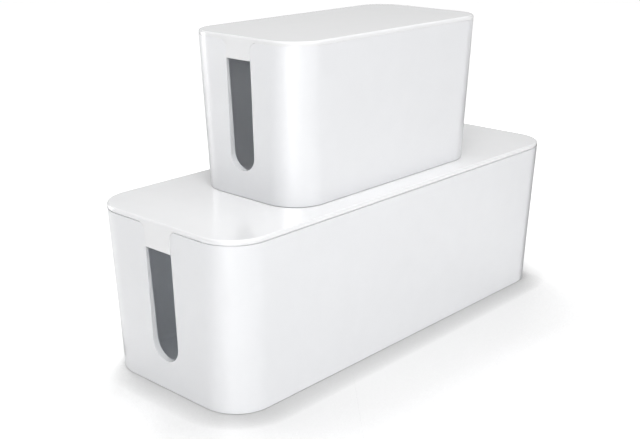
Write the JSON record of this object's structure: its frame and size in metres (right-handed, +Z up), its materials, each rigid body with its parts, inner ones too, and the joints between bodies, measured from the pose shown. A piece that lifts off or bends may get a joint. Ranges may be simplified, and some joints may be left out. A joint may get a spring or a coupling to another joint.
{
  "type": "cable management box",
  "caption": "Large and small lidded plastic boxes, stacked, with a rounded cable slot in each end wall and a lid tab that closes the top of each slot.",
  "frame": {"origin": "on the floor, under the middle of the large box", "axes": "+X along the boxes' length, +Y across them, +Z up"},
  "size_m": [0.4, 0.155, 0.2545],
  "materials": {
    "shell_plastic": "smooth satin-gloss moulded white",
    "lid_plastic": "smooth satin-gloss moulded white",
    "foot_rubber": "matt grey rubber"
  },
  "bodies": {
    "large_box": {"large_box": "shell_plastic", "large_foot_front_left": "foot_rubber", "large_foot_front_right": "foot_rubber", "large_foot_back_left": "foot_rubber", "large_foot_back_right": "foot_rubber"},
    "large_lid": {"large_lid": "lid_plastic"},
    "small_box": {"small_box": "shell_plastic", "small_foot_front_left": "foot_rubber", "small_foot_front_right": "foot_rubber", "small_foot_back_left": "foot_rubber", "small_foot_back_right": "foot_rubber"},
    "small_lid": {"small_lid": "lid_plastic"}
  },
  "joints": [
    {"name": "large_lid_lift", "type": "slide", "parent": "large_box", "child": "large_lid", "axis": [0, 0, 1], "range_m": [0, 0.06]},
    {"name": "small_box_lift", "type": "slide", "parent": "large_lid", "child": "small_box", "axis": [0, 0, 1], "range_m": [0, 0.04]},
    {"name": "small_lid_lift", "type": "slide", "parent": "small_box", "child": "small_lid", "axis": [0, 0, 1], "range_m": [0, 0.06]}
  ]
}
